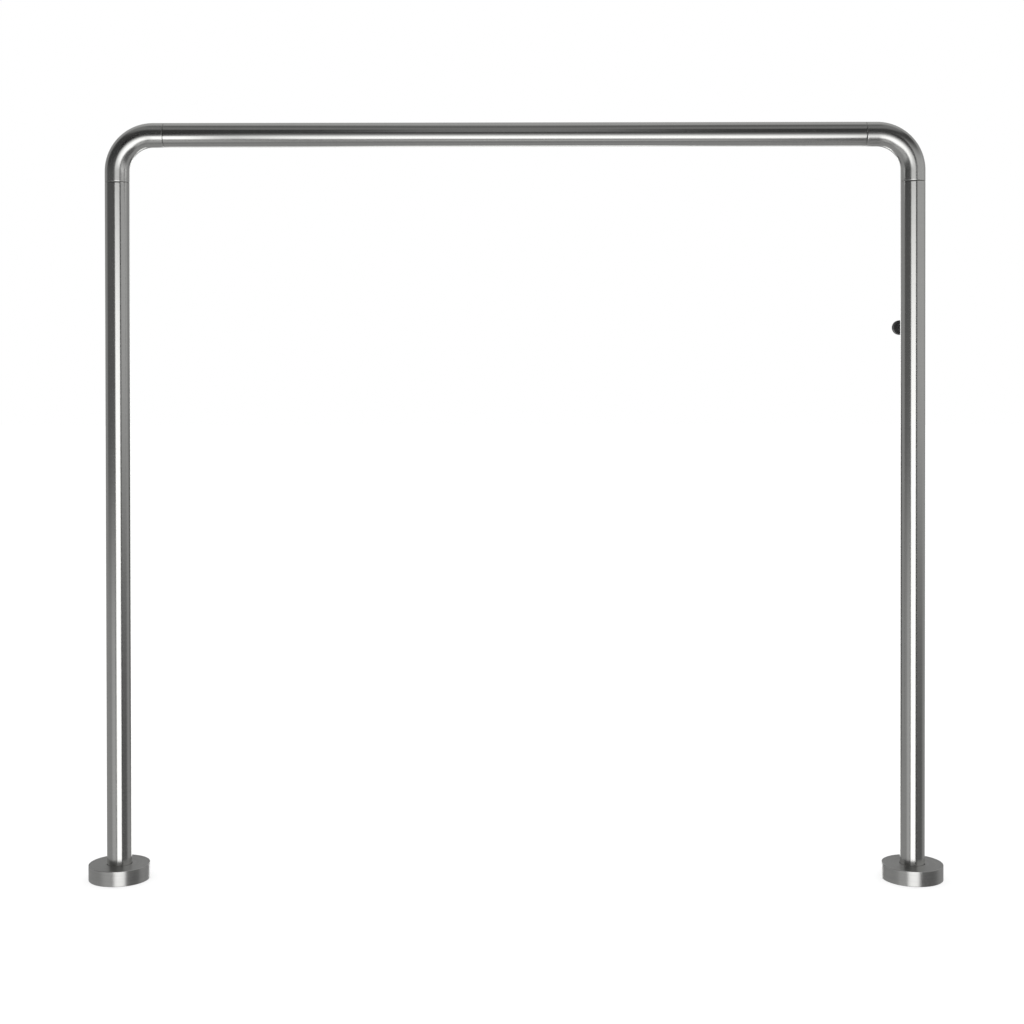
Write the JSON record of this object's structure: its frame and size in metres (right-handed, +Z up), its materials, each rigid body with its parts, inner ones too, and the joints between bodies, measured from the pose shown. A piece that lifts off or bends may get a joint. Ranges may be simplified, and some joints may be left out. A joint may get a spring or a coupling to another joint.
{
  "type": "door security bar",
  "caption": "Floor-fixed hoop of round brushed stainless tube with bent corners, round base covers and a rubber door buffer behind one post.",
  "frame": {"origin": "on the floor, at the centre of the part's footprint box. That box runs from the front of the base covers to the face of the buffer, so the plane of the posts lies 21.75 mm in front of the origin, at Y = -0.02175", "axes": "+X along the top rail from the left post to the right post, +Y to the rear, the way the buffer points, +Z up"},
  "size_m": [1.184, 0.1274, 1.0468],
  "materials": {
    "brushed_tube": "brushed lengthwise",
    "satin_elbow": "satin, brushed along the bend",
    "inner_sleeve": "mill finish",
    "flange_plate": "turned, matt",
    "zinc_hardware": "zinc plated",
    "turned_cover": "brushed round its axis",
    "buffer_steel": "smooth turned",
    "black_rubber": "matt"
  },
  "bodies": {
    "bar": {"left_post_tube": "brushed_tube", "right_post_tube": "brushed_tube", "top_rail_tube": "brushed_tube", "left_elbow": "satin_elbow", "right_elbow": "satin_elbow", "left_post_sleeve": "inner_sleeve", "left_rail_sleeve": "inner_sleeve", "right_post_sleeve": "inner_sleeve", "right_rail_sleeve": "inner_sleeve", "left_base_flange": "flange_plate", "right_base_flange": "flange_plate", "left_front_grub_screw": "zinc_hardware", "left_rear_grub_screw": "zinc_hardware", "right_front_grub_screw": "zinc_hardware", "right_rear_grub_screw": "zinc_hardware", "buffer_threaded_insert": "zinc_hardware", "buffer_saddle_washer": "buffer_steel", "buffer_stem": "buffer_steel", "buffer_rubber": "black_rubber"},
    "left_cover": {"left_base_cover": "turned_cover", "left_cover_grip_ring": "black_rubber"},
    "right_cover": {"right_base_cover": "turned_cover", "right_cover_grip_ring": "black_rubber"}
  },
  "joints": [
    {"name": "left_cover_slide", "type": "slide", "parent": "bar", "child": "left_cover", "axis": [0, 0, 1], "range_m": [0, 0.955]},
    {"name": "right_cover_slide", "type": "slide", "parent": "bar", "child": "right_cover", "axis": [0, 0, 1], "range_m": [0, 0.735]}
  ]
}
